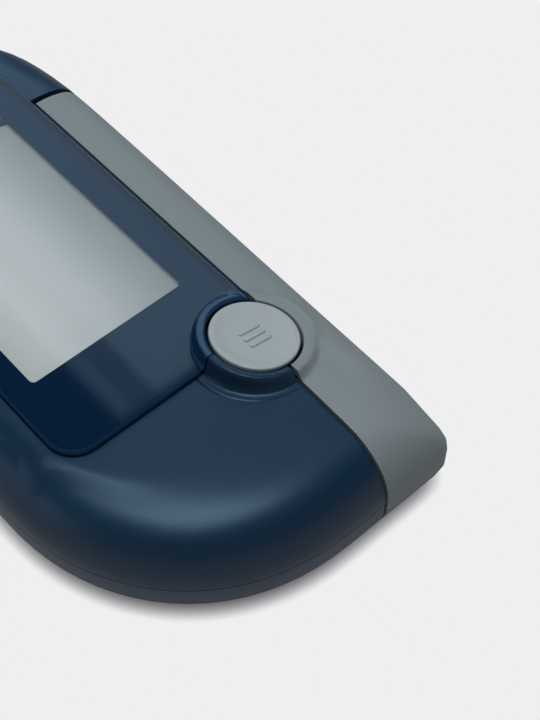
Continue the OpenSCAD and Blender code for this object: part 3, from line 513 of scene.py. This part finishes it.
def buildCollar(part, height):  # height gives the part's face at a place
    crest, foot, fall = collar[part]
    bore, edge, rise, depth, steps = (collar[size] for size in ("bore", "round", "rise", "depth", "steps"))
    wall = ((bore, -depth), (bore, -edge), (bore + 0.03, -0.03), (bore + edge, 0))  # up the bore and over its edge
    under = ((foot + 0.02, 0.2), (crest + 0.6, 0.7), (crest, None))  # sunk below the face, and back to the bore
    first, last = len(wall), len(wall) + steps
    bpy.ops.object.select_all(action='DESELECT')
    bpy.ops.mesh.primitive_circle_add(vertices=collar["sides"], radius=bore * mm, location=(0, 0, 0))
    ring = bpy.context.object
    ring.name = part + "Collar"
    bpy.ops.object.mode_set(mode='EDIT')
    bpy.ops.mesh.select_mode(type='EDGE')
    bpy.ops.mesh.select_all(action='SELECT')
    for row in range(last + len(under)):  # a plain tube with its rows 1 mm apart
        extrudeUp(1)
    pick("edges", lambda edge: edge.is_boundary)
    bpy.ops.mesh.bridge_edge_loops()
    bpy.ops.object.mode_set(mode='OBJECT')
    turn = keyFrame()

    def seat(way, reach, drop):
        return turn @ Vector((way.x * reach * mm, way.y * reach * mm, drop * mm))
    for vert in ring.data.vertices:  # each row of the tube takes its place along the collar's section
        row = round(vert.co.z / mm)
        way = vert.co.xy.normalized()
        if row < first:
            reach, drop = wall[row]
            vert.co = seat(way, reach, rise + drop)
        elif row <= last:
            share = (row - first) / steps
            top = seat(way, crest + (foot - crest) * share, rise)
            ease = 1 - (1 - share * share * (3 - 2 * share)) ** fall
            top.z += (height(top.x, top.y) - top.z) * ease
            vert.co = top
        else:
            reach, sink = under[row - last - 1]
            low = seat(way, reach, -depth)
            if sink is not None:
                low.z = height(low.x, low.y) - sink * mm
            vert.co = low
    return ring


def cutCollar(ring, cuts):  # each cut keeps the side its normal points away from
    activate(ring)
    bpy.ops.object.mode_set(mode='EDIT')
    for spot, normal in cuts:
        bpy.ops.mesh.select_all(action='SELECT')
        bpy.ops.mesh.bisect(plane_co=Vector(spot) * mm, plane_no=normal, use_fill=True, clear_outer=True,
                            threshold=0.0005 * mm)
    bpy.ops.mesh.select_all(action='SELECT')
    bpy.ops.mesh.normals_make_consistent(inside=False)
    settle(ring, 50)


def besideCollar(surface, x, y):  # the face beyond the collar's foot, carried inwards along its own slope
    centre = Vector(key["centre"][:2]) * mm
    way = (Vector((x, y)) - centre).normalized()
    near, far = collar["beside"]
    heights = []
    for reach in (near, far):
        spot = centre + way * reach * mm
        if surface.name == "frontShell":  # never in the gap to the strip, nor in the lens's recess
            spot.x = min(spot.x, (collar["shellRight"] - 0.2) * mm)
            spot.y = min(spot.y, collar["shellClear"] * mm)
        else:
            spot.x = max(spot.x, (collar["stripLeft"][0 if spot.y < centre.y else 1] + 0.25) * mm)
        heights.append(faceHeight(surface, spot.x, spot.y))
    back = max(0, near * mm - (Vector((x, y)) - centre).length) / ((far - near) * mm)
    return min(heights[0] + (heights[0] - heights[1]) * back, collar["flat"] * mm)


def shellFace(x, y):
    return besideCollar(bpy.data.objects["frontShell"], x, y)


def stripFace(x, y):
    return besideCollar(bpy.data.objects["gripStrip"], x, y)


def lensFace(x, y):  # flat all over
    return display["top"] * mm


def openForCollar(piece):  # takes the plain collar off a shell's copy, where the blended one comes
    back = keyFrame().inverted()
    inner, outer = collar["opening"]

    def onCollar(face):
        spots = [back @ vert.co / mm for vert in face.verts]
        return (all(inner < spot.xy.length < outer and spot.z > collar["openDepth"] for spot in spots)
                and (back.to_3x3() @ face.normal).z > -0.5)
    activate(piece)
    bpy.ops.object.mode_set(mode='EDIT')
    bpy.ops.mesh.select_mode(type='FACE')
    pick("faces", onCollar)
    bpy.ops.mesh.delete(type='FACE')
    bpy.ops.object.mode_set(mode='OBJECT')


def cutStrip(ring):  # the strip's edge steps to the right above the join, so its two halves are cut apart
    twin = ring.copy()
    twin.data = ring.data.copy()
    scene.collection.objects.link(twin)
    join = key["centre"][1] + collar["stripJoin"]
    lowLeft, highLeft = collar["stripLeft"]
    cutCollar(ring, (((lowLeft, 0, 0), (-1, 0, 0)), ((0, join, 0), (0, 1, 0))))
    cutCollar(twin, (((highLeft, 0, 0), (-1, 0, 0)), ((0, join, 0), (0, -1, 0))))
    activate(ring)
    twin.select_set(True)
    bpy.ops.object.join()
    bpy.ops.object.mode_set(mode='EDIT')
    bpy.ops.mesh.select_mode(type='FACE')
    pick("faces", lambda face: all(abs(vert.co.y - join * mm) < 0.001 * mm for vert in face.verts))
    bpy.ops.mesh.delete(type='ONLY_FACE')
    bpy.ops.mesh.select_all(action='SELECT')
    bpy.ops.mesh.remove_doubles(threshold=0.001 * mm)
    settle(ring, 50)


for pieceName in ("frontShell", "gripStrip", "displayLens"):
    openForCollar(bpy.data.objects[pieceName])
shellRing = buildCollar("shell", shellFace)
cutCollar(shellRing, (((collar["shellRight"], 0, 0), (1, 0, 0)), ((0, collar["shellHigh"], 0), (0, 1, 0))))
place(shellRing, "housing", "shell_plastic", housingBlue)
lensRing = buildCollar("lens", lensFace)
cutCollar(lensRing, (((collar["lensRight"], 0, 0), (1, 0, 0)), ((0, collar["lensLow"], 0), (0, -1, 0))))
place(lensRing, "housing", "lens_plastic", lensBlue)
stripRing = buildCollar("strip", stripFace)
cutStrip(stripRing)
place(stripRing, "housing", "grip_plastic", stripGrey)
print("collar built")

cap, shaded = buildKey()
place(cap, "main_key", "key_plastic", keyGrey, "main_key")
cap.data.materials.append(keyGapShadeBlack)  # painted shade: the cap's skirt and flange below the shade depth are near black, for the shade in the gap round the cap
for face, dark in zip(cap.data.polygons, shaded):
    if dark:
        face.material_index = 1
for number, (x, y) in enumerate(key["bars"]):
    place(buildBar(x, y, number + 1), "main_key", "key_plastic", keyGrey)
print("key built")

# nodes whose shape is right keep it and get their finish
finishes = {"lcd_panel": lcdFace, "lcd_frame": whiteAbs, "lcd_connector": blackNylon, "circuit_board": resistGreen,
            "controller_chip": blackNylon, "buzzer": blackNylon, "key_switch": blackNylon,
            "key_switch_plunger": keyGrey, "set_key": keyGrey, "set_switch": blackNylon,
            "set_switch_plunger": keyGrey, "port_guide": whiteAbs, "strip_connector": blackNylon,
            "strip_contacts": goldPlate, "cell_1": cellJacket, "cell_2": cellJacket, "cell_spring_1": nickel,
            "cell_spring_2": nickel, "cell_link_plate": nickel, "cell_positive_plate": nickel,
            "cell_negative_plate": nickel, "housing_screw_1": screwSteel, "housing_screw_2": screwSteel,
            "housing_screw_3": screwSteel, "housing_screw_4": screwSteel}
for nodeName, material in finishes.items():
    nodes[nodeName].data.materials.clear()
    nodes[nodeName].data.materials.append(material)
print("nodes finished")
